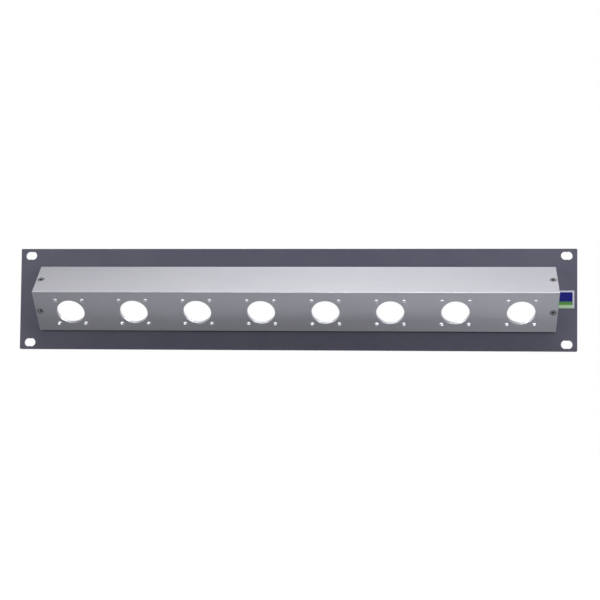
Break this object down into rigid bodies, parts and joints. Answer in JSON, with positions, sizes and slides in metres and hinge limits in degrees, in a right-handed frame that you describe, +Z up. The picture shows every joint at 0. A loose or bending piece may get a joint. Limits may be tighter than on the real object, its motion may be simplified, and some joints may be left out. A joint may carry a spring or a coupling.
{
  "type": "audio patch bay",
  "caption": "Low rack panel carrying a long right-angle folded nose, its lower face pierced by a row of round connector cutouts with small fixing holes; unloaded.",
  "frame": {"origin": "centre of the panel's rear face, which rests on the rack rails", "axes": "+X to the right seen from the front, +Z up, -Y out of the front towards the user"},
  "size_m": [0.4826, 0.0321, 0.0882],
  "materials": {
    "panel_anthracite": "satin, fine-textured",
    "nose_aluminium": "satin anodised",
    "cheek_aluminium": "milled",
    "screw_steel": "plain steel",
    "label_face": "printed film"
  },
  "bodies": {
    "root": {"rack_panel": "panel_anthracite", "connector_nose": "nose_aluminium", "end_cheek_left": "cheek_aluminium", "end_cheek_right": "cheek_aluminium", "plain_label": "label_face", "nose_screw_upper_left": "screw_steel", "nose_screw_lower_left": "screw_steel", "cheek_screw_upper_left": "screw_steel", "cheek_screw_lower_left": "screw_steel", "nose_screw_upper_right": "screw_steel", "nose_screw_lower_right": "screw_steel", "cheek_screw_upper_right": "screw_steel", "cheek_screw_lower_right": "screw_steel"}
  },
  "joints": []
}
